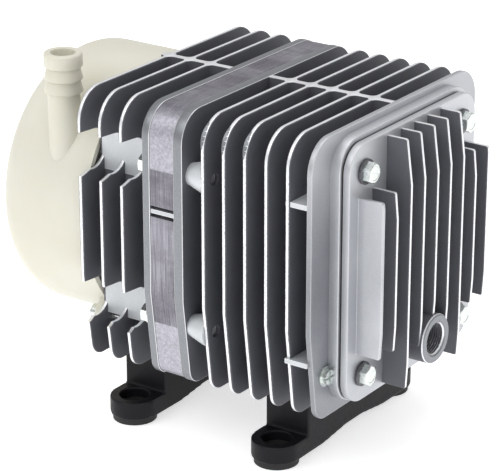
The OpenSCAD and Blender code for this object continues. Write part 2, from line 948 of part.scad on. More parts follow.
// Rubber pads under the cups, with a plug that fills the lower part of each cup's hole.
module foot_pads_rubber() {
    color([0.05, 0.05, 0.05])
        at_feet()
            difference() {
                union() {
                    cylinder(h = cup_z0, r = cup_r - 1.4);
                    cylinder(h = cup_z0 + 4.5, r = cup_hole_r - 0.02);
                }
                translate([0, 0, -1])
                    cylinder(h = cup_z1, r = 3.3);
            }
}

module foot_screws() {
    color([0.8, 0.81, 0.82])
        for (sx = [-1, 1])
            for (sy = [-1, 1])
                translate([sx * foot_x, sy * foot_screw_y, foot_h - 8]) {
                    cylinder(h = 19, r = 2.95);
                    translate([0, 0, -4])
                        cylinder(h = 4.01, r = 10 / sqrt(3), $fn = 6);
                }
}

rear_casting();
stator_core();
stator_keys();
front_casting();
through_bolts();
through_bolt_washers();
upper_coil_bobbin();
lower_coil_bobbin();
upper_coil_winding();
lower_coil_winding();
terminal_block();
cord_gland();
armature_core();
armature_magnets();
spring_seat();
piston_rod();
piston();
piston_rings();
suction_valve();
valve_guard();
return_spring();
cylinder_liner();
valve_plate();
valve_plate_seal();
discharge_valve();
discharge_spring();
valve_stop();
head_gasket();
head_cover();
head_bolts();
head_washers();
earth_screw();
rear_bush();
tank_gasket();
filter_felt();
filter_retainer();
filter_tank();
tank_screws();
rear_foot();
front_foot();
rear_cups();
front_cups();
foot_pads_rubber();
foot_screws();
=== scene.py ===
"""Looks for the linear air pump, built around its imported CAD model.

The castings, the lamination stack, the head, the bolts, the feet, the springs and the tank are
rebuilt here as detailed meshes, in millimetres, and scaled to metres as each piece is made. Lengths
run along X, and outlines lie in the Y-Z plane around the piston axis. Overall sizes and places come
from the CAD boxes, and the sizes below repeat the design's own.
"""

import json
import math

import bmesh
import bpy
from mathutils import Matrix, Vector
from mathutils.geometry import tessellate_polygon


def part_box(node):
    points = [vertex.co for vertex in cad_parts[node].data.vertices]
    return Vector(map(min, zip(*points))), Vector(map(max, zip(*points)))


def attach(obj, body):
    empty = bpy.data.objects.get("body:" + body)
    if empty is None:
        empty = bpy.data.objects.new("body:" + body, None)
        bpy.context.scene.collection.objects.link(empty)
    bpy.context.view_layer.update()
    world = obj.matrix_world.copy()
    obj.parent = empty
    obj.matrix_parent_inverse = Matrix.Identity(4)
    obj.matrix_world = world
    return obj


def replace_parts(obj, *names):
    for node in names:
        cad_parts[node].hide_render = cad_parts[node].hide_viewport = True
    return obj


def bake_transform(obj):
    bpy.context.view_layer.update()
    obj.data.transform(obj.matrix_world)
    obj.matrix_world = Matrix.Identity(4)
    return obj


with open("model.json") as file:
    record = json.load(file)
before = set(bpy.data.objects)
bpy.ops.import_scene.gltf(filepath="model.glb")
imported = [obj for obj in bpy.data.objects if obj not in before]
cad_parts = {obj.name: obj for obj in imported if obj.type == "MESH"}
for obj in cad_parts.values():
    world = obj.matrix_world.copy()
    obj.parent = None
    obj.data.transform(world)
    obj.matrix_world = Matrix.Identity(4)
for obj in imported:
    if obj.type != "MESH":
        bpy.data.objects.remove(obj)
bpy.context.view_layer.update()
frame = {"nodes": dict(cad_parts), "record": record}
nodes = frame["nodes"]

MM = 0.001
PUMP = "pump"
PAINTED_SHADE, BRIGHT, SATIN = 0.0, 1.0, 2.0  # how bare a surface is: the lowest is the dark painted shade between the fins, SATIN is duller machined metal


def box_mm(node):
    """A CAD node's lowest and highest corners, in millimetres."""
    low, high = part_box(node)
    return [c / MM for c in low], [c / MM for c in high]


# ---- sizes, in millimetres ----

REAR_LOW, REAR_HIGH = box_mm("rear_casting")
FRONT_LOW, FRONT_HIGH = box_mm("front_casting")
TANK_LOW, TANK_HIGH = box_mm("filter_tank")

# The body's outline, shared by fins, flanges and stator
HALF_W = FRONT_HIGH[1]
HALF_H = (FRONT_HIGH[2] - FRONT_LOW[2]) / 2
AXIS_Z = FRONT_LOW[2] + HALF_H
CORNER_R, LOW_CORNER_R = 17.0, 9.0
DRAW_IN, DRAW_IN_FROM = 6.5, -0.35  # the sides draw in by this, from this share of the half height
KEY_Z, KEY_SLOT_HALF, KEY_SLOT_DEEP = 20.0, 3.0, 3.6

# Castings
FIN_T = 2.6
EDGE_R, FLANGE_EDGE_R = 0.7, 0.6
REAR_FINS, REAR_PITCH, REAR_FLANGE = 3, 13.6, 4.7
FRONT_FINS, FRONT_PITCH, FRONT_FLANGE = 5, 12.9, 5.9
LAST_FLANGE, LAND = 3.0, 5.6
CORE_Y, CORE_Z, CORE_R = HALF_W - 19.5, HALF_H - 18.5, 10.0
CAVE_Y, CAVE_Z, CAVE_R = CORE_Y - 5, CORE_Z - 4, 6.0
RIB_HALF, RIB_FILLET = 1.8, 3.4
REAR_WALL, ROD_HOLE_R, AIR_HOLES, AIR_HOLE_R, AIR_RING_R = 4.0, 9.0, 8, 6.0, 28.0
FRONT_WALL, LINER_HOLE_R, VALVE_HOLE_R, RECESS_R = 10.0, 33.0, 36.6, 41.0
PADDED_FINS = 3
WEB_HALF = 1.3

# Fasteners
BOLT_Y, BOLT_Z = HALF_W - 9, HALF_H - 34
BOLT_ACROSS, BOLT_HEAD, SHANK_R = 10.0, 4.4, 2.95
BOLT_HOLE_R, BOSS_R, BOSS_TIP_R = 3.4, 9.0, 6.0
WASHER_T, WASHER_HOLE_R = 1.6, 3.2
POCKET_R, POCKET_FLARE = 11.0, 1.5

# Head
COVER_Y, COVER_Z, COVER_T, COVER_R = HALF_W - 18, HALF_H - 6, 4.0, 14.0
HEAD_BOLT_Y, HEAD_BOLT_Z = COVER_Y - 14, COVER_Z - 15
HEAD_PITCH, HEAD_FIN_T, HEAD_FIN_H = 13.0, 2.4, 14.5
PORT_Z, PORT_R, PORT_BORE = -(HALF_H - 27), 13.5, 8.33
THREAD_PITCH, THREAD_DEPTH = 1.34, 0.72

# Places along X
PLATE_X1 = FRONT_HIGH[0] - LAND
PLATE_X0 = PLATE_X1 - LAST_FLANGE
STATOR_X0, STATOR_X1 = REAR_HIGH[0], FRONT_LOW[0]
COVER_X0 = box_mm("head_gasket")[1][0]
COVER_X1 = COVER_X0 + COVER_T

# Tank
TANK_X = TANK_HIGH[0]
TANK_R = TANK_HIGH[1]
TANK_L = TANK_X - TANK_LOW[0]
TANK_WALL, TANK_SKIN, KNUCKLE = 47.0, 3.0, 16.0
NOZZLE = (TANK_X - 23.6, 15 - TANK_R)
NOZZLE_TOP = TANK_HIGH[2]
BARB_R, NECK_R, NOZZLE_BORE = 10.4, 8.7, 6.5


# ---- outlines: lists of (y, z) or (x, z) points, counter-clockwise ----


def arc(cy, cz, r, a0, a1, steps):
    turn = [math.radians(a0 + (a1 - a0) * i / steps) for i in range(steps + 1)]
    return [(cy + r * math.cos(t), cz + r * math.sin(t)) for t in turn]


def circle(r, steps=64, cy=0.0, cz=0.0):
    return arc(cy, cz, r, 0, 360, steps)[:-1]


def rounded(points, radii, steps=8):
    """A convex outline whose corners are rounded by arcs."""
    out = []
    for i, (p, r) in enumerate(zip(points, radii)):
        if not r:
            out.append(p)
            continue
        p = Vector(p)
        back = (Vector(points[i - 1]) - p).normalized()
        ahead = (Vector(points[(i + 1) % len(points)]) - p).normalized()
        half = back.angle(ahead) / 2
        centre = p + (back + ahead).normalized() * r / math.sin(half)
        start = p + back * r / math.tan(half) - centre
        end = p + ahead * r / math.tan(half) - centre
        turn = start.angle_signed(end)
        for k in range(steps + 1):
            a = -turn * k / steps
            c, s = math.cos(a), math.sin(a)
            x = centre.x + start.x * c - start.y * s
            out.append((x, centre.y + start.x * s + start.y * c))
    return out


def rounded_box(half_y, half_z, r, steps=8, up=0.0):
    low, high = up - half_z, up + half_z
    corners = [(-half_y, low), (half_y, low), (half_y, high), (-half_y, high)]
    return rounded(corners, [r] * 4, steps)


def body_outline(inset=0.0, notched=False, slots=()):
    """The outline that the fins, the flanges and the stator share: upright sides that draw in below."""
    w, h = HALF_W - inset, HALF_H - inset
    corners = [(0, -h), (w - DRAW_IN, -h), (w, h * DRAW_IN_FROM), (w, h), (0, h)]
    side = rounded(corners, [0, LOW_CORNER_R, 0, CORNER_R - inset, 0], 10)
    if notched:
        side = cut_notch(side, -BOLT_Z)
        side = cut_notch(side, BOLT_Z)
    for z in slots:
        side = cut_slot(side, z)
    left = [(-y, z) for y, z in reversed(side) if abs(y) > 1e-6]
    return side + left


def side_y(points, z):
    """Where the outline's right side stands at height z."""
    for (y0, z0), (y1, z1) in zip(points, points[1:]):
        if z0 <= z <= z1 and y0 > 0 and y1 > 0 and z1 > z0:
            return y0 + (y1 - y0) * (z - z0) / (z1 - z0)
    return HALF_W


def cut_notch(points, z):
    """Opens a round-ended pocket in the right side, around a through-bolt's head."""
    low, high = z - POCKET_R - POCKET_FLARE, z + POCKET_R + POCKET_FLARE * 0.5
    inside = [(side_y(points, low), low), (side_y(points, low) - 1.2, low + 0.1)]
    inside += arc(BOLT_Y - POCKET_FLARE, z, POCKET_R, 285, 100, 18)
    inside += [(side_y(points, high), high)]
    before = [p for p in points if p[1] < low - 0.01]
    after = [p for p in points if p[1] > high + 0.01]
    return before + inside + after


def cut_slot(points, z):
    """Cuts the square slot that a key lies in."""
    low, high = z - KEY_SLOT_HALF, z + KEY_SLOT_HALF
    y = side_y(points, z)
    before = [p for p in points if p[1] < low - 0.01]
    after = [p for p in points if p[1] > high + 0.01]
    floor = y - KEY_SLOT_DEEP
    return before + [(y, low), (floor, low), (floor, high), (y, high)] + after


def inset_outline(points, d):
    """Moves each edge of a counter-clockwise outline inwards by d."""
    if not d:
        return list(points)
    sharpest = 0.35  # keeps the point of a very sharp corner from shooting inwards
    out = []
    n = len(points)
    for i in range(n):
        p = Vector(points[i])
        a = (p - Vector(points[i - 1])).normalized()
        b = (Vector(points[(i + 1) % n]) - p).normalized()
        na, nb = Vector((a.y, -a.x)), Vector((b.y, -b.x))
        m = (na + nb) / max(1 + na.dot(nb), sharpest)
        out.append(tuple(p - m * d))
    return out


# ---- mesh building ----


def across_x(x, p):
    """The place of an outline's point p in a slice at x."""
    return x, p[0], AXIS_Z + p[1]


def across_y(y, p):
    """The place of an (x, z) outline's point p in a slice at y."""
    return p[0], y, AXIS_Z + p[1]


class Build:
    """Collects closed shells, with one number per vertex that says how bare the metal is there; the lowest
    stands for painted shade.
    """

    def __init__(self):
        self.verts, self.faces, self.bare = [], [], []

    def add(self, verts, faces, bare):
        base = len(self.verts)
        self.verts += [tuple(v) for v in verts]
        self.faces += [tuple(base + i for i in f) for f in faces]
        self.bare += [bare] * len(verts) if isinstance(bare, (int, float)) else list(bare)

    def rings(self, rings, bare=PAINTED_SHADE, cap=(True, True)):
        """Skins a run of rings that have as many points each, with a cap at either end if asked."""
        n, count = len(rings[0]), len(rings)
        verts = [p for r in rings for p in r]
        faces = []
        for i in range(count - 1):
            j = i + 1
            for k in range(n):
                m = (k + 1) % n
                faces.append((i * n + k, i * n + m, j * n + m, j * n + k))
        if cap[0]:
            faces.append(tuple(range(n)))
        if cap[1]:
            faces.append(tuple((count - 1) * n + k for k in range(n)))
        values = bare
        if not isinstance(bare, (int, float)):
            values = [b for b in bare for _ in range(n)]
        self.add(verts, faces, values)

    def plate(self, outline, x0, x1, r=EDGE_R, holes=(), rim=BRIGHT, faces=(PAINTED_SHADE, PAINTED_SHADE), place=None):
        """A plate across X, or where place puts it, with rounded edges of radius r.

        rim and faces say how bare its edge and its two faces are. The holes' walls take the dark painted
        shade.
        """
        place = place or across_x
        lip = 0.35  # a flat ring inside the rounding, where the edge's bareness has died away
        steps = 3
        rings, values = [], []
        if r:
            rings.append((x0, r + lip))
            values.append(faces[0])
            for k in range(steps + 1):
                t = math.pi / 2 * k / steps
                rings.append((x0 + r - r * math.cos(t), r - r * math.sin(t)))
                values.append(faces[0] + (rim - faces[0]) * k / steps)
            for k in range(steps, -1, -1):
                t = math.pi / 2 * k / steps
                rings.append((x1 - r + r * math.cos(t), r - r * math.sin(t)))
                values.append(faces[1] + (rim - faces[1]) * k / steps)
            rings.append((x1, r + lip))
            values.append(faces[1])
        else:
            rings, values = [(x0, 0.0), (x1, 0.0)], [rim, rim]
        loops = [[place(x, p) for p in inset_outline(outline, d)] for x, d in rings]
        self.rings(loops, values, cap=(False, False))
        ends = [(x0, loops[0], faces[0]), (x1, loops[-1], faces[1])]
        for x, outer, value in ends:
            inner = [[place(x, p) for p in hole] for hole in holes]
            self.flat([outer] + inner, value)
        for hole in holes:
            self.rings([[place(x, p) for p in hole] for x in (x0, x1)], PAINTED_SHADE, cap=(False, False))

    def flat(self, loops, bare):
        """A flat face with holes."""
        verts = [p for loop in loops for p in loop]
        tris = tessellate_polygon([[Vector(p) for p in loop] for loop in loops])
        self.add(verts, [tuple(t) for t in tris], bare)

    def turned(self, profile, centre=(0, 0), bare=PAINTED_SHADE, steps=48, axis="x", cap=(True, True)):
        """A shape turned about X (or Z) through centre. profile is (along, radius) pairs."""
        rings = []
        for along, radius in profile:
            ring = []
            for k in range(steps):
                t = 2 * math.pi * k / steps
                c, s = radius * math.cos(t), radius * math.sin(t)
                if axis == "x":
                    ring.append((along, centre[0] + c, AXIS_Z + centre[1] + s))
                else:
                    ring.append((centre[0] + c, centre[1] + s, along))
            rings.append(ring)
        self.rings(rings, bare, cap)

    def block(self, xs, ys, zs):
        """A square-edged bare block between two places along each axis, z from the piston axis."""
        outline = [(ys[0], zs[0]), (ys[1], zs[0]), (ys[1], zs[1]), (ys[0], zs[1])]
        self.plate(outline, *xs, 0, faces=(BRIGHT, BRIGHT))

    def make(self, name, body, slot, material, angle=32):
        mesh = bpy.data.meshes.new(name)
        mesh.from_pydata([(x * MM, y * MM, z * MM) for x, y, z in self.verts], [], self.faces)
        mesh.attributes.new("bare", "FLOAT", "POINT").data.foreach_set("value", self.bare)
        bm = bmesh.new()
        bm.from_mesh(mesh)
        bmesh.ops.remove_doubles(bm, verts=bm.verts, dist=1e-6)
        bmesh.ops.recalc_face_normals(bm, faces=bm.faces)
        bm.to_mesh(mesh)
        bm.free()
        return finish_piece(name, mesh, body, material, angle)


def finish_piece(name, mesh, body, material, angle=32):
    """Makes a piece of a mesh: smooth faces with sharp edges, one material, riding on a body."""
    mesh.polygons.foreach_set("use_smooth", [True] * len(mesh.polygons))
    mesh.set_sharp_from_angle(angle=math.radians(angle))
    mesh.materials.clear()
    mesh.materials.append(material)
    piece = bpy.data.objects.new(name, mesh)
    bpy.context.scene.collection.objects.link(piece)
    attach(piece, body)
    return piece


# ---- materials ----


class Shade:
    """A small helper that writes one Principled material."""

    def __init__(self, name):
        self.mat = bpy.data.materials.new(name)
        self.mat.use_nodes = True
        self.tree = self.mat.node_tree
        self.tree.nodes.clear()
        self.out = self.node("ShaderNodeOutputMaterial")
        self.bsdf = self.node("ShaderNodeBsdfPrincipled")
        self.link(self.bsdf.outputs[0], self.out.inputs["Surface"])
        self.coord = self.node("ShaderNodeTexCoord").outputs["Object"]

    def node(self, kind, **values):
        n = self.tree.nodes.new(kind)
        for key, value in values.items():
            setattr(n, key, value)
        return n

    def link(self, a, b):
        self.tree.links.new(a, b)

    def set(self, **values):
        for key, value in values.items():
            self.bsdf.inputs[key.replace("_", " ")].default_value = value

    def scaled(self, x, y, z):
        m = self.node("ShaderNodeMapping")
        m.inputs["Scale"].default_value = (x, y, z)
        self.link(self.coord, m.inputs["Vector"])
        return m.outputs["Vector"]

    def noise(self, size_mm, detail=4.0, rough=0.55, stretch=(1, 1, 1), distortion=0.0):
        n = self.node("ShaderNodeTexNoise")
        n.inputs["Scale"].default_value = 1000.0 / size_mm
        n.inputs["Detail"].default_value = detail
        n.inputs["Roughness"].default_value = rough
        n.inputs["Distortion"].default_value = distortion
        self.link(self.scaled(*stretch), n.inputs["Vector"])
        return n.outputs["Fac"]

    def ramp(self, value, low, high, out_low=0.0, out_high=1.0, smooth=True):
        m = self.node("ShaderNodeMapRange")
        m.interpolation_type = "SMOOTHSTEP" if smooth else "LINEAR"
        for key, v in zip(("From Min", "From Max", "To Min", "To Max"), (low, high, out_low, out_high)):
            m.inputs[key].default_value = v
        self.link(value, m.inputs["Value"])
        return m.outputs["Result"]

    def maths(self, kind, a, b):
        m = self.node("ShaderNodeMath", operation=kind)
        for socket, v in zip(m.inputs, (a, b)):
            if isinstance(v, (int, float)):
                socket.default_value = v
            else:
                self.link(v, socket)
        return m.outputs[0]

    def mix(self, fac, a, b):
        m = self.node("ShaderNodeMix", data_type="RGBA")
        for socket, v in ((m.inputs[0], fac), (m.inputs[6], a), (m.inputs[7], b)):
            if isinstance(v, (int, float)):
                socket.default_value = v
            elif isinstance(v, tuple):
                socket.default_value = (*v, 1.0)
            else:
                self.link(v, socket)
        return m.outputs[2]

    def height(self):
        """Height above the piston axis, in millimetres."""
        split = self.node("ShaderNodeSeparateXYZ")
        self.link(self.coord, split.inputs[0])
        return self.maths("SUBTRACT", self.maths("MULTIPLY", split.outputs["Z"], 1 / MM), AXIS_Z)

    def attribute(self, name):
        n = self.node("ShaderNodeAttribute")
        n.attribute_name = name
        return n.outputs["Fac"]

    def to(self, key, value):
        self.link(value, self.bsdf.inputs[key.replace("_", " ")])

    def bump(self, height, mm, strength=1.0):
        b = self.node("ShaderNodeBump")
        b.inputs["Strength"].default_value = strength
        b.inputs["Distance"].default_value = mm * MM
        self.link(height, b.inputs["Height"])
        self.link(b.outputs[0], self.bsdf.inputs["Normal"])

    def painted_edge_highlight(self, width_mm):
        """About 1 on sharp outer edges, from the turn of the surface normal within width_mm; it masks
        painted highlights on edges.
        """
        bevel = self.node("ShaderNodeBevel", samples=4)
        bevel.inputs["Radius"].default_value = width_mm * MM
        geometry = self.node("ShaderNodeNewGeometry")
        dot = self.node("ShaderNodeVectorMath", operation="DOT_PRODUCT")
        self.link(bevel.outputs[0], dot.inputs[0])
        self.link(geometry.outputs["Normal"], dot.inputs[1])
        return self.ramp(dot.outputs["Value"], 0.995, 0.93)


def casting_material():
    """Die-cast aluminium: dark painted shade on the fin faces and in the gaps between them, bare metal on
    every machined rim.
    """
    s = Shade("casting")
    grain = s.noise(1.1, 5, 0.6)
    broad = s.noise(14, 3, 0.5)
    # the edge of the bare metal is ragged; on faces that look up or down it reaches further, a painted
    # highlight for the light from above
    ragged = s.maths("ADD", s.attribute("bare"), s.maths("MULTIPLY", s.maths("SUBTRACT", grain, 0.5), 0.5))
    highlight_normal = s.node("ShaderNodeSeparateXYZ")
    s.link(s.node("ShaderNodeNewGeometry").outputs["Normal"], highlight_normal.inputs[0])
    ragged = s.maths("ADD", ragged, s.maths("MULTIPLY", s.maths("ABSOLUTE", highlight_normal.outputs["Z"], 0.0), 0.2))
    bare = s.ramp(ragged, 0.8, 0.98)
    # painted shade: this dark tone on the fin faces, the core and the gaps stands for the shade between the
    # fins of a bare casting
    painted_shade_tone = s.mix(broad, (0.100, 0.103, 0.117), (0.130, 0.134, 0.152))
    metal = s.mix(s.ramp(broad, 0.3, 0.7), (0.86, 0.87, 0.9), (0.94, 0.95, 0.97))
    satin = s.ramp(ragged, 1.35, 1.7)
    metal = s.mix(satin, metal, s.mix(grain, (0.19, 0.2, 0.215), (0.32, 0.33, 0.35)))
    s.to("Base Color", s.mix(bare, painted_shade_tone, metal))
    s.to("Metallic", s.maths("MULTIPLY", bare, 0.82))
    s.to("Roughness", s.maths("ADD", s.ramp(bare, 0, 1, 0.56, 0.36), s.maths("MULTIPLY", grain, 0.08)))
    s.bump(s.noise(0.9, 4, 0.6), 0.05, 0.5)
    return s.mat


def cast_material(name, dark, light, metallic, patch_mm):
    """Bare cast aluminium: a fine blasted skin in slow patches, painted light that brightens it towards the
    top, and painted highlights on its edges.
    """
    s = Shade(name)
    grain = s.noise(0.8, 5, 0.65)
    tone = s.mix(s.noise(patch_mm, 3, 0.5), dark, light)
    tone = s.mix(s.ramp(grain, 0.45, 0.75, 0, 0.3), tone, tuple(c + 0.12 for c in light))
    # painted light: the tone brightens towards the top, as if those faces caught more light from above
    painted_top_light = s.ramp(s.height(), 5, HALF_H, 0, 0.5)
    tone = s.mix(painted_top_light, tone, (0.72, 0.73, 0.76))
    # painted highlight: the edges are lifted towards near white
    s.to("Base Color", s.mix(s.painted_edge_highlight(0.6), tone, (0.9, 0.91, 0.93)))
    s.set(Metallic=metallic)
    s.to("Roughness", s.maths("ADD", 0.38, s.maths("MULTIPLY", grain, 0.12)))
    s.bump(grain, 0.06, 0.5)
    return s.mat


def lamination_material():
    """Stacked electrical steel: fine lines along the sheets, varnish patches and ground corner zones."""
    ground_from, ground_to = 42.6, 75  # heights above and below the axis that are ground bright
    s = Shade("laminations")
    lines = s.noise(0.55, 2, 0.6, stretch=(1, 0.02, 0.02))
    patches = s.noise(26, 4, 0.6, stretch=(0.4, 1, 1))
    fine = s.noise(1.5, 5, 0.7)
    tone = s.mix(s.ramp(patches, 0.35, 0.65), (0.23, 0.22, 0.25), (0.44, 0.43, 0.48))
    tone = s.mix(s.ramp(lines, 0.35, 0.7, 0, 0.75), tone, (0.14, 0.13, 0.16))
    tone = s.mix(s.ramp(fine, 0.5, 0.8, 0, 0.4), tone, (0.6, 0.59, 0.63))
    away = s.maths("ABSOLUTE", s.height(), 0.0)
    ground = s.ramp(away, ground_from, ground_from + 0.8)
    ground = s.maths("MULTIPLY", ground, s.ramp(away, ground_to - 5, ground_to, 1, 0))
    rubbed = s.mix(s.ramp(fine, 0.3, 0.7), (0.42, 0.415, 0.46), (0.66, 0.65, 0.72))
    s.to("Base Color", s.mix(s.maths("MULTIPLY", ground, 0.85), tone, rubbed))
    s.set(Metallic=0.7)
    s.to("Roughness", s.ramp(patches, 0.3, 0.7, 0.5, 0.34))
    s.bump(lines, 0.05, 0.7)
    return s.mat


def metal_material(name, light, dark, rough, size_mm=1.0, stretch=(1, 1, 1)):
    """Machined or plated metal, its grain drawn out along the axes where stretch is small."""
    s = Shade(name)
    grain = s.noise(size_mm, 4, 0.6, stretch)
    s.to("Base Color", s.mix(s.ramp(grain, 0.3, 0.75), dark, light))
    s.set(Metallic=1.0)
    s.to("Roughness", s.maths("ADD", rough, s.maths("MULTIPLY", grain, 0.12)))
    s.bump(grain, 0.02, 0.5)
    return s.mat


def plastic_material(name, light, dark, rough, grain_mm=0.7, bump_mm=0.03, subsurface=0.0):
    """Moulded plastic, rubber or felt: a slow drift of tone and a fine skin."""
    s = Shade(name)
    broad = s.noise(40, 3, 0.5)
    fine = s.noise(grain_mm, 4, 0.6)
    s.to("Base Color", s.mix(s.ramp(broad, 0.3, 0.7), dark, light))
    s.to("Roughness", s.maths("ADD", rough, s.maths("MULTIPLY", fine, 0.12)))
    if subsurface:
        s.set(Subsurface_Weight=subsurface, Subsurface_Scale=0.004)
        s.bsdf.inputs["Subsurface Radius"].default_value = (1.0, 0.8, 0.5)
    s.bump(fine, bump_mm, 0.5)
    return s.mat


def black_casting_material():
    """The feet's black paint over a rough casting, with a painted grey highlight on its edges."""
    s = Shade("black_casting")
    grain = s.noise(1.2, 5, 0.65)
    tone = s.mix(grain, (0.007, 0.0065, 0.008), (0.013, 0.012, 0.015))
    # painted highlight: the edges are lifted towards grey
    s.to("Base Color", s.mix(s.maths("MULTIPLY", s.painted_edge_highlight(0.9), 0.5), tone, (0.12, 0.11, 0.125)))
    s.to("Roughness", s.ramp(grain, 0.3, 0.7, 0.38, 0.52))
    s.bsdf.inputs["Specular IOR Level"].default_value = 0.18
    s.bump(grain, 0.09, 0.5)
    return s.mat


CASTING = casting_material()
CAST_BARE = cast_material("cast_bare", (0.44, 0.45, 0.48), (0.59, 0.605, 0.63), 0.72, 22)
CAST_GREY = cast_material("cast_grey", (0.21, 0.215, 0.235), (0.33, 0.34, 0.365), 0.75, 30)
CAST_LIGHT = cast_material("cast_light", (0.52, 0.54, 0.56), (0.66, 0.69, 0.71), 0.3, 12)
LAMINATION = lamination_material()
ZINC = metal_material("zinc_plate", (0.86, 0.9, 0.87), (0.62, 0.66, 0.64), 0.2, 1.4)
STEEL = metal_material("machined_steel", (0.66, 0.67, 0.7), (0.48, 0.49, 0.52), 0.22, 0.6, (0.1, 1, 1))
ALUMINIUM = metal_material("machined_aluminium", (0.8, 0.8, 0.81), (0.62, 0.62, 0.64), 0.25, 0.6,
                           (1, 0.1, 0.1))
# painted shade: the head washers are darkened to stand for the dark shadow ring round the head bolts
WASHER_PAINTED_SHADE = metal_material("washer_painted_shade", (0.2, 0.2, 0.21), (0.1, 0.1, 0.11), 0.35, 1.0)
MAGNET = metal_material("magnet_plate", (0.42, 0.42, 0.45), (0.26, 0.26, 0.29), 0.3, 1.0)
BRONZE = metal_material("sintered_bronze", (0.78, 0.56, 0.3), (0.5, 0.33, 0.16), 0.4, 0.4)
COPPER = metal_material("copper_wire", (0.72, 0.3, 0.12), (0.3, 0.1, 0.04), 0.28, 0.5, (0.05, 0.05, 1))
CREAM = plastic_material("cream_plastic", (0.72, 0.705, 0.61), (0.68, 0.66, 0.555), 0.33, 0.8, 0.025, 0.1)
BOBBIN = plastic_material("bobbin_plastic", (0.82, 0.77, 0.6), (0.74, 0.69, 0.52), 0.4)
BLACK_PLASTIC = plastic_material("black_plastic", (0.02, 0.02, 0.022), (0.012, 0.012, 0.013), 0.35, 0.5)
RUBBER = plastic_material("black_rubber", (0.022, 0.022, 0.022), (0.013, 0.013, 0.013), 0.62, 0.5, 0.06)
FELT = plastic_material("felt", (0.78, 0.77, 0.72), (0.62, 0.61, 0.56), 0.9, 0.35, 0.25)
BLACK_CASTING = black_casting_material()

SLOT_MATERIALS = {
    "cast_aluminium": CAST_BARE,
    "lamination_steel": LAMINATION,
    "zinc_steel": ZINC,
    "bobbin_plastic": BOBBIN,
    "copper_wire": COPPER,
    "black_plastic": BLACK_PLASTIC,
    "machined_steel": STEEL,
    "magnet": MAGNET,
    "machined_aluminium": ALUMINIUM,
    "black_rubber": RUBBER,
    "bronze": BRONZE,
    "felt": FELT,
    "cream_plastic": CREAM,
    "black_casting": BLACK_CASTING,
}
for part in frame["record"]["subparts"]:
    shown = nodes[part["node"]]
    for place in shown.material_slots:
        place.material = SLOT_MATERIALS[part["material_slot"]]
for place in nodes["stator_keys"].material_slots:
    place.material = CAST_BARE


# ---- castings ----

CORE = rounded_box(CORE_Y, CORE_Z, CORE_R)
CORE_MID = rounded_box(CORE_Y - 2, CORE_Z - 2, CORE_R - 2)
CAVITY = rounded_box(CAVE_Y, CAVE_Z, CAVE_R)


def at_bolts():
    return [(sy * BOLT_Y, sz * BOLT_Z) for sy in (-1, 1) for sz in (-1, 1)]


def ridge(b, outline, z0, z1):
    """An upright prism with dark sides and a bright top (or underside, when z1 is below z0)."""
    up = 1 if z1 > z0 else -1
    rows = [(z0, 0.0, PAINTED_SHADE), (z1 - up * 0.5, 0.0, PAINTED_SHADE), (z1 - up * 0.35, 0.0, BRIGHT)]
    rows += [(z1 - up * 0.1, 0.06, BRIGHT), (z1, 0.25, BRIGHT)]
    rings = [[(x, y, z) for x, y in inset_outline(outline, d)] for z, d, _ in rows]
    b.rings(rings, [v for _, _, v in rows])


def joint(x, half_x, half_y, fillet, steps=5):
    """The outline, seen from above, where the rib crosses a fin: a cross with filleted corners."""
    out = []
    for sx, sy in ((1, 1), (-1, 1), (-1, -1), (1, -1)):
        curve = []
        for i in range(steps + 1):
            t = math.pi / 2 * i / steps
            curve.append((x + sx * (half_x + fillet - fillet * math.sin(t)),
                          sy * (half_y + fillet - fillet * math.cos(t))))
        out += curve if sx * sy > 0 else curve[::-1]
    return out


def top_rib(b, x0, x1, crossings):
    """The rib that joins the fins along the middle of the top and of the underside."""
    for side in (1, -1):
        root, crest = AXIS_Z + side * (CORE_Z - 1), AXIS_Z + side * (HALF_H - 0.05)
        ridge(b, [(x0, -RIB_HALF), (x1, -RIB_HALF), (x1, RIB_HALF), (x0, RIB_HALF)], root, crest)
        for x in crossings:
            cross = joint(x, FIN_T / 2 - 0.3, RIB_HALF - 0.1, RIB_FILLET)
            ridge(b, cross, root, crest + side * 0.02)


def corner_pads(b, x):
    """Small lens-shaped pads on the upper corners of a fin, where the casting is ejected."""
    low, high, steps = 4, 54, 12
    slim, swell, depth, edge = FIN_T / 2 - 0.7, 0.85, 1.6, 0.3
    for side in (-1, 1):
        rings = []
        for i in range(steps + 1):
            t = math.radians(low + (high - low) * i / steps)
            half = slim + swell * math.sin(math.pi * i / steps)
            inner, outer, shoulder = CORNER_R - depth, CORNER_R, CORNER_R - edge
            section = [(-half, inner), (half, inner), (half, shoulder), (half - edge, outer),
                       (edge - half, outer), (-half, shoulder)]
            ring = []
            for dx, r in section:
                y = side * (HALF_W - CORNER_R + r * math.cos(t))
                ring.append((x + dx, y, AXIS_Z + HALF_H - CORNER_R + r * math.sin(t)))
            rings.append(ring)
        b.rings(rings, SATIN)


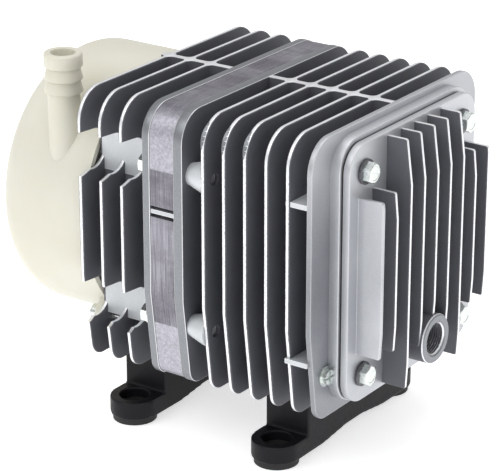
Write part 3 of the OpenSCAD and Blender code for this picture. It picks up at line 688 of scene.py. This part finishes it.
def build_rear_casting():
    """Flange, three pocketed fins and the motor room, closed by a wall with the air holes."""
    b = Build()
    x0, x1 = REAR_LOW[0], REAR_HIGH[0]
    flange = x1 - REAR_FLANGE
    fins = [flange - i * REAR_PITCH for i in range(1, REAR_FINS + 1)]
    b.plate(body_outline(), flange, x1, FLANGE_EDGE_R, [CORE_MID], rim=SATIN)
    for x in fins:
        b.plate(body_outline(notched=True), x - FIN_T / 2, x + FIN_T / 2, EDGE_R, [CORE_MID])
    holes = [circle(ROD_HOLE_R)]
    for i in range(AIR_HOLES):
        t = 2 * math.pi * i / AIR_HOLES
        holes.append(circle(AIR_HOLE_R, 24, AIR_RING_R * math.cos(t), AIR_RING_R * math.sin(t)))
    b.plate(CORE, x0, x0 + REAR_WALL, 0, holes, rim=PAINTED_SHADE)
    b.plate(CORE, x0 + REAR_WALL, x1, 0, [CAVITY], rim=PAINTED_SHADE)
    top_rib(b, x0, flange + 1, fins)
    piece = b.make("rear_casting_body", PUMP, "cast_aluminium", CASTING)
    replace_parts(piece, "rear_casting")
    build_pocket_walls(fins[-1], flange + 0.2)


def build_pocket_walls(x0, x1):
    """Light walls at the bottom of the pockets that the through-bolts' heads lie in."""
    b = Build()
    for y, z in at_bolts():
        sy, sz = math.copysign(1, y), math.copysign(1, z)
        ys = sorted((sy * (CORE_Y - 1), sy * (CORE_Y + 0.3)))
        zs = sorted((z - sz * (POCKET_R + 2.5), z + sz * (POCKET_R + 1)))
        b.block((x0, x1), ys, zs)
    b.make("rear_casting_pockets", PUMP, "cast_aluminium", CAST_LIGHT)


def build_front_casting():
    """Flange, five fins and the core, which holds the cylinder liner."""
    b = Build()
    x0 = FRONT_LOW[0]
    flange = x0 + FRONT_FLANGE
    fins = [flange + i * FRONT_PITCH for i in range(1, FRONT_FINS + 1)]
    b.plate(body_outline(), x0, flange, FLANGE_EDGE_R, [CORE_MID], rim=SATIN)
    for i, x in enumerate(fins):
        through = [circle(BOLT_HOLE_R, 24, *p) for p in at_bolts()] if i == 0 else []
        b.plate(body_outline(), x - FIN_T / 2, x + FIN_T / 2, EDGE_R, [CORE_MID] + through)
        if i < PADDED_FINS:
            corner_pads(b, x - 0.6)
    b.plate(CORE, x0, PLATE_X0 - FRONT_WALL, 0, [CAVITY], rim=PAINTED_SHADE)
    b.plate(CORE, PLATE_X0 - FRONT_WALL, PLATE_X0, 0, [circle(LINER_HOLE_R)], rim=PAINTED_SHADE)
    top_rib(b, flange - 1, PLATE_X0 + 1, fins)
    piece = b.make("front_casting_body", PUMP, "cast_aluminium", CASTING)
    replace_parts(piece, "front_casting")


def build_front_face():
    """The last flange with its raised land, the bosses and the webs: all bare metal."""
    face = Build()
    hole = circle(VALVE_HOLE_R)
    face.plate(body_outline(), PLATE_X0, PLATE_X1, 0.4, [hole], faces=(PAINTED_SHADE, BRIGHT))
    face.make("front_flange_face", PUMP, "cast_aluminium", CAST_GREY)
    land = Build()
    outline = rounded_box(COVER_Y + 1.5, COVER_Z + 1.5, COVER_R + 2, 10, up=1)
    land.plate(outline, PLATE_X1 - 0.5, FRONT_HIGH[0], 0.45, [circle(RECESS_R)], faces=(BRIGHT, BRIGHT))
    land.make("front_land", PUMP, "cast_aluminium", CAST_BARE)
    light = Build()
    flange = FRONT_LOW[0] + FRONT_FLANGE
    fin = flange + FRONT_PITCH
    boss = [(flange - 1, BOSS_TIP_R + 0.2), (flange + 0.3, BOSS_TIP_R)]
    boss += [(fin - 3.5, BOSS_R - 0.3), (fin - 1, BOSS_R)]
    for centre in at_bolts():
        light.turned(boss, centre, BRIGHT)
    for sy in (-1, 1):
        for z in (BOLT_Z, -BOLT_Z - 1):
            ys = sorted((sy * CORE_Y, sy * (HALF_W - 0.6)))
            light.block((PLATE_X0 - FRONT_PITCH, PLATE_X0 + 0.5), ys, (z - WEB_HALF, z + WEB_HALF))
    light.make("front_bosses_and_webs", PUMP, "cast_aluminium", CAST_LIGHT)


build_rear_casting()
build_front_casting()
build_front_face()


# ---- stator ----


def build_stator():
    """The lamination stack, with the joint between sheets cut as a fine groove all round."""
    b = Build()
    sheets, groove_half, groove_deep = 29, 0.09, 0.14
    step = (STATOR_X1 - STATOR_X0) / sheets
    outline = body_outline(0.4, slots=(KEY_Z,))
    slices = []
    for i in range(sheets):
        x = STATOR_X0 + i * step
        slices += [(x, groove_deep), (x + groove_half, 0.0), (x + step - groove_half, 0.0)]
    slices.append((STATOR_X1, groove_deep))
    rings = [[across_x(x, p) for p in inset_outline(outline, d)] for x, d in slices]
    b.rings(rings, PAINTED_SHADE, cap=(False, False))
    window = [[across_x(x, p) for p in stator_window()] for x in (STATOR_X0, STATOR_X1)]
    b.flat([rings[0], window[0]], PAINTED_SHADE)
    b.flat([rings[-1], window[1]], PAINTED_SHADE)
    b.rings(window, PAINTED_SHADE, cap=(False, False))
    piece = b.make("stator_laminations", PUMP, "lamination_steel", LAMINATION)
    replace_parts(piece, "stator_core")


def stator_window():
    """The opening inside the stack: two poles, above and below, with a round bore between them."""
    pole, r = 20.0, 23.0
    tip = math.degrees(math.acos(pole / r))
    y, z = CAVE_Y - CAVE_R, CAVE_Z - CAVE_R
    right = [(pole, -CAVE_Z), (y, -CAVE_Z)] + arc(y, -z, CAVE_R, -90, 0, 6)
    right += arc(y, z, CAVE_R, 0, 90, 6) + [(pole, CAVE_Z)]
    top = arc(0, 0, r, tip, 180 - tip, 20)
    left = [(-y, z) for y, z in reversed(right)]
    bottom = arc(0, 0, r, 180 + tip, 360 - tip, 20)
    return right + top + left + bottom


build_stator()


# ---- fasteners ----


def hexagon(across):
    """Radius of a hexagon with flats this far apart, at an angle round it."""
    return lambda t: across / 2 / math.cos((t + math.pi / 6) % (math.pi / 3) - math.pi / 6)


def hex_head(b, x, centre, height=BOLT_HEAD, face=1):
    """A bolt head with its chamfered corners and dished top, standing from x towards face."""
    radius = hexagon(BOLT_ACROSS)
    steps = 72
    crown = BOLT_ACROSS / 2 * 0.93
    rows = [[] for _ in range(5)]
    for k in range(steps):
        t = 2 * math.pi * k / steps
        r = radius(t)
        drop = max(0.0, r - crown) * math.tan(math.radians(28))
        section = [(0.0, r), (height - drop, r), (height, crown)]
        section += [(height - 0.05, crown * 0.8), (height - 0.3, crown * 0.74)]
        for row, (along, f) in zip(rows, section):
            y, z = centre[0] + f * math.cos(t), centre[1] + f * math.sin(t)
            row.append((x + face * along, y, AXIS_Z + z))
    b.rings(rows, BRIGHT)


def washer(b, x, centre, r, face=1):
    """A washer that lies against x, on the side that face points to."""
    ends = sorted((x, x + face * WASHER_T))
    hole = circle(WASHER_HOLE_R, 32, *centre)
    b.plate(circle(r, 40, *centre), *ends, 0.25, [hole], faces=(BRIGHT, BRIGHT))


def shank(b, x0, x1, centre):
    chamfer = 0.3
    profile = [(x0, SHANK_R - chamfer), (x0 + 0.4, SHANK_R), (x1 - 0.4, SHANK_R), (x1, SHANK_R - chamfer)]
    b.turned(profile, centre, BRIGHT, 24)


def build_through_bolts():
    bolts, washers = Build(), Build()
    far_end = box_mm("through_bolts")[1][0]
    seat = STATOR_X0 - REAR_FLANGE
    head = seat - WASHER_T
    for centre in at_bolts():
        washer(washers, seat, centre, 6.2, face=-1)
        hex_head(bolts, head, centre, face=-1)
        shank(bolts, head, far_end, centre)
    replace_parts(bolts.make("through_bolt_heads", PUMP, "zinc_steel", ZINC), "through_bolts")
    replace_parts(washers.make("through_bolt_rings", PUMP, "zinc_steel", ZINC), "through_bolt_washers")


def build_head_bolts():
    bolts, washers = Build(), Build()
    far_end = box_mm("head_bolts")[0][0]
    head = COVER_X1 + WASHER_T
    for sy in (-1, 1):
        for sz in (-1, 1):
            centre = (sy * HEAD_BOLT_Y, sz * HEAD_BOLT_Z)
            washer(washers, COVER_X1, centre, 6.6)
            hex_head(bolts, head, centre, height=BOLT_HEAD + 0.2)
            shank(bolts, far_end, head, centre)
    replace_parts(bolts.make("head_bolt_set", PUMP, "zinc_steel", ZINC), "head_bolts")
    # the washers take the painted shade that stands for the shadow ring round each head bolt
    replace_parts(washers.make("head_washer_set", PUMP, "zinc_steel", WASHER_PAINTED_SHADE), "head_washers")


build_through_bolts()
build_head_bolts()


# ---- head ----


def fin_profile(z0, z1, lean):
    """A head fin seen from the side: its front edge leans back towards the top by lean."""
    x0, x1 = COVER_X1 - 1, COVER_X1 + HEAD_FIN_H
    bend = z1 - 24 * min(1, lean / 2.4)
    points = [(x0, z0), (x1 - 0.8, z0), (x1, z0 + 14), (x1, bend), (x1 - lean, z1), (x0, z1)]
    return rounded(points, [0, 1.0, 0, 0, 1.2, 0], 4)


def port_profile():
    """The threaded discharge boss in section: (x, radius) pairs, and how bare each is."""
    end, bore = COVER_X1 + HEAD_FIN_H + 1.5, PORT_BORE
    profile = [(COVER_X1 - 1, PORT_R), (end - 2.0, PORT_R), (end - 0.9, PORT_R), (end, PORT_R - 0.8)]
    bare = [PAINTED_SHADE, PAINTED_SHADE, BRIGHT, SATIN]
    profile += [(end, bore + 1.3), (end - 1.2, bore + 0.2)]
    bare += [SATIN, BRIGHT]
    x = end - 1.4
    root = bore + THREAD_DEPTH
    while x > COVER_X0 + 2.0:
        profile += [(x, bore + 0.05), (x - 0.2, bore), (x - 0.62, root), (x - 0.82, root)]
        bare += [0.75, 0.75, 0.3, 0.3]
        x -= THREAD_PITCH
    profile.append((COVER_X0, bore + 0.3))
    bare.append(PAINTED_SHADE)
    return profile, bare


def build_head():
    """The cover plate with its nine fins: the bolts cut the outer ones short, and the port stops two."""
    dark, light = Build(), Build()
    cover = rounded_box(COVER_Y, COVER_Z, COVER_R, 10)
    port = circle(PORT_BORE, 40, 0, PORT_Z)
    light.plate(cover, COVER_X0, COVER_X1, 0.5, [port], faces=(BRIGHT, BRIGHT))
    tall, short = COVER_Z - 2, HEAD_BOLT_Z - 12.5
    spans = {  # fins counted from the middle one: where they start and end, and how far they lean
        4: (-short, short, 0.4),
        3: (-short, short + 1.5, 1.4),
        2: (-tall, tall, 3.2),
        1: (PORT_Z, tall, 3.2),
        0: (PORT_Z + 8, tall, 3.2),
    }
    last = max(spans)
    for i in range(-last, last + 1):
        y = i * HEAD_PITCH
        # The outermost fin on the -Y side faces out into the light and is bare; the other fins take the
        # casting's dark painted shade, for the shade between them.
        build = light if i == -last else dark
        build.plate(fin_profile(*spans[abs(i)]), y - HEAD_FIN_T / 2, y + HEAD_FIN_T / 2, 0.5, place=across_y)
    profile, bare = port_profile()
    dark.turned(profile, (0, PORT_Z), bare, 56, cap=(False, False))
    head = dark.make("head_fins", PUMP, "cast_aluminium", CASTING)
    light.make("head_plate", PUMP, "cast_aluminium", CAST_BARE)
    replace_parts(head, "head_cover")


build_head()


# ---- tank ----

def crown():
    """Where the tank's rounded rim gives way to its shallow crown: (angle, radius of the crown)."""
    low, high = 40.0, 89.0
    for _ in range(40):
        turn = (low + high) / 2
        t = math.radians(turn)
        ball = (TANK_R - KNUCKLE + KNUCKLE * math.cos(t)) / math.cos(t)
        apex = TANK_WALL + KNUCKLE * math.sin(t) + ball * (1 - math.sin(t))
        if apex > TANK_L:
            low = turn
        else:
            high = turn
    return turn, ball


def tank_profile(inset=0.0):
    """(distance from the rim, radius) along the tank: a wall, a rounded rim and a crown."""
    turn, ball = crown()
    rim, steps = TANK_R - KNUCKLE, 24
    out = [(a, TANK_R - inset) for a in (0.0, 8.0, 16.0, 24.0, TANK_WALL - 2)]
    for i in range(steps + 1):
        t = math.radians(turn * i / steps)
        out.append((TANK_WALL + (KNUCKLE - inset) * math.sin(t), rim + (KNUCKLE - inset) * math.cos(t)))
    for i in range(1, steps + 1):
        t = math.radians(turn + (90 - turn) * i / steps)
        out.append((TANK_L - ball + (ball - inset) * math.sin(t), max((ball - inset) * math.cos(t), 0.3)))
    return out


def build_tank():
    b = Build()
    outside = [(TANK_X - a, r) for a, r in tank_profile()]
    inside = [(TANK_X - a, r) for a, r in tank_profile(TANK_SKIN)]
    b.turned(inside[::-1] + outside, steps=160)
    for k in range(4):
        lug(b, math.radians(45 + 90 * k))
    nozzle(b)
    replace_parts(b.make("tank_shell", PUMP, "cream_plastic", CREAM, 40), "filter_tank")


def lug(b, turn):
    """An ear on the tank's rim that takes a screw."""
    c, s = math.cos(turn), math.sin(turn)
    r, thick = 5.5, 5
    root = TANK_R - 4
    outline = [(root, -r)] + arc(TANK_R + 5, 0, r, -90, 90, 12) + [(root, r)]
    turned = [(u * c - v * s, u * s + v * c) for u, v in outline]
    b.plate(turned, TANK_X - thick, TANK_X, 0.6, rim=PAINTED_SHADE)


def nozzle(b):
    """The hose nozzle: a neck that runs down the tank's side, two barbs, a collar and an open bore."""
    top = NOZZLE_TOP
    low = AXIS_Z + math.sqrt((TANK_R - 1) ** 2 - (NOZZLE[1] - NECK_R) ** 2) - 3
    outside = [(low, NECK_R + 0.15), (top - 21.9, NECK_R)]
    for barb in (top - 21.7, top - 14.7):
        outside += [(barb, BARB_R - 0.4), (barb + 0.3, BARB_R - 0.05), (barb + 0.8, BARB_R)]
        outside += [(barb + 6.1, NECK_R + 0.35), (barb + 6.8, NECK_R + 0.15)]
    outside += [(top - 7.7, BARB_R - 0.4), (top - 7.2, BARB_R), (top - 1.3, BARB_R)]
    outside += [(top - 0.6, BARB_R - 0.2), (top - 0.15, BARB_R - 0.65), (top, BARB_R - 1.2)]
    outside += [(top, NOZZLE_BORE + 0.9), (top - 0.25, NOZZLE_BORE + 0.3)]
    outside += [(top - 0.9, NOZZLE_BORE), (top - 40.0, NOZZLE_BORE - 0.3)]
    b.turned(outside, NOZZLE, PAINTED_SHADE, 64, "z")


def build_tank_gasket():
    """The gasket as a narrow ring, which the pockets in the rear fins don't lay bare."""
    low, high = box_mm("tank_gasket")
    b = Build()
    b.plate(circle(TANK_R - 5, 96), low[0], high[0], 0, [circle(TANK_R - 7, 96)], rim=PAINTED_SHADE)
    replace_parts(b.make("tank_gasket_ring", PUMP, "black_rubber", RUBBER), "tank_gasket")


build_tank()
build_tank_gasket()


# ---- feet ----


def softened(made_of, voxel_mm, passes):
    """CAD nodes' meshes joined, with their edges and inner corners rounded, as a casting's are."""
    bm = bmesh.new()
    for node in made_of:
        bm.from_mesh(nodes[node].data)
    joined = bpy.data.meshes.new(made_of[0] + "_joined")
    bm.to_mesh(joined)
    bm.free()
    copy = bpy.data.objects.new(made_of[0] + "_soft", joined)
    bpy.context.scene.collection.objects.link(copy)
    weld = copy.modifiers.new("weld", "WELD")
    weld.merge_threshold = 1e-6
    remesh = copy.modifiers.new("remesh", "REMESH")
    remesh.mode = "VOXEL"
    remesh.voxel_size = voxel_mm * MM
    smooth = copy.modifiers.new("smooth", "SMOOTH")
    smooth.factor = 0.5
    smooth.iterations = passes
    bpy.context.view_layer.update()
    graph = bpy.context.evaluated_depsgraph_get()
    mesh = bpy.data.meshes.new_from_object(copy.evaluated_get(graph))
    bpy.data.objects.remove(copy)
    return mesh


def build_bar(end):
    """A mounting bar with its two cups, in one casting."""
    made_of = (end + "_foot", end + "_cups")
    mesh = softened(made_of, 0.7, 3)
    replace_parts(finish_piece(end + "_bar", mesh, PUMP, BLACK_CASTING, 60), *made_of)


build_bar("rear")
build_bar("front")


# ---- springs ----


def squeezed_spring(node, seat):
    """A copy of a spring's mesh, smooth-shaded in machined steel, in place of the CAD spring."""
    low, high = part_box(node)
    seat_low, seat_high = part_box(seat)
    ends = [low[0], high[0]]
    if seat_low[0] + seat_high[0] < low[0] + high[0]:
        ends.reverse()
    mesh = nodes[node].data.copy()
    mesh.polygons.foreach_set("use_smooth", [True] * len(mesh.polygons))
    mesh.set_sharp_from_angle(angle=math.radians(40))
    mesh.materials.clear()
    mesh.materials.append(STEEL)
    piece = bpy.data.objects.new(node + "_coil", mesh)
    bpy.context.scene.collection.objects.link(piece)
    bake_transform(piece)
    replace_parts(piece, node)


squeezed_spring("return_spring", "spring_seat")
squeezed_spring("discharge_spring", "discharge_valve")


# ---- floor, lights and camera ----


def area_light(name, place, target, size, energy):
    lamp = bpy.data.lights.new(name, "AREA")
    lamp.shape = "RECTANGLE"
    lamp.size, lamp.size_y = size
    lamp.energy = energy
    piece = bpy.data.objects.new(name, lamp)
    bpy.context.scene.collection.objects.link(piece)
    piece.location = place
    piece.rotation_mode = "QUATERNION"
    piece.rotation_quaternion = (Vector(target) - Vector(place)).to_track_quat("-Z", "Y")


def build_stage():
    """A pale floor and soft studio light, from the left, above and the right."""
    mesh = bpy.data.meshes.new("floor")
    s, z = 6.0, -0.0002  # metres: wide enough for any view, and just below the feet
    mesh.from_pydata([(-s, -s, z), (s, -s, z), (s, s, z), (-s, s, z)], [], [(0, 1, 2, 3)])
    floor = bpy.data.objects.new("floor", mesh)
    bpy.context.scene.collection.objects.link(floor)
    shade = Shade("floor")
    soft = shade.noise(60, 2, 0.5)
    shade.to("Base Color", shade.mix(soft, (0.9, 0.9, 0.9), (0.93, 0.93, 0.93)))
    shade.set(Roughness=0.9, Emission_Strength=0.62)
    shade.bsdf.inputs["Emission Color"].default_value = (1, 1, 1, 1)
    mesh.materials.append(shade.mat)

    world = bpy.data.worlds.new("studio")
    world.use_nodes = True
    world.node_tree.nodes["Background"].inputs[0].default_value = (1, 1, 1, 1)
    world.node_tree.nodes["Background"].inputs[1].default_value = 0.6
    bpy.context.scene.world = world
    bpy.context.scene.view_settings.view_transform = "Standard"

    area_light("key", (-0.35, -0.85, 1.05), (0, 0, 0.1), (0.9, 0.7), 3.9)
    area_light("top", (0.1, 0.15, 1.5), (0, 0, 0.1), (1.0, 1.0), 6.5)
    area_light("fill", (1.1, -0.5, 0.5), (0, 0, 0.1), (0.8, 0.8), 0.5)


def build_camera():
    """The photograph's angle: azimuth 34.86, elevation 21.45 degrees, about 1.3 m away."""
    azimuth, elevation, distance = math.radians(34.855), math.radians(21.449), 1.3142
    right = Vector((math.cos(azimuth), math.sin(azimuth), 0))
    back = Vector((math.sin(azimuth) * math.cos(elevation), -math.cos(azimuth) * math.cos(elevation),
                   math.sin(elevation)))
    up = back.cross(right)
    aim = Vector((-0.003, 0, 0.1124)) - right * 0.004416 - up * 0.012765
    data = bpy.data.cameras.new("camera")
    data.sensor_width = 36
    data.lens = 175.06
    data.clip_start, data.clip_end = 0.05, 20
    camera = bpy.data.objects.new("camera", data)
    bpy.context.scene.collection.objects.link(camera)
    camera.location = aim + back * distance
    camera.rotation_mode = "QUATERNION"
    camera.rotation_quaternion = Matrix((right, up, back)).transposed().to_quaternion()
    bpy.context.scene.camera = camera


build_stage()
build_camera()
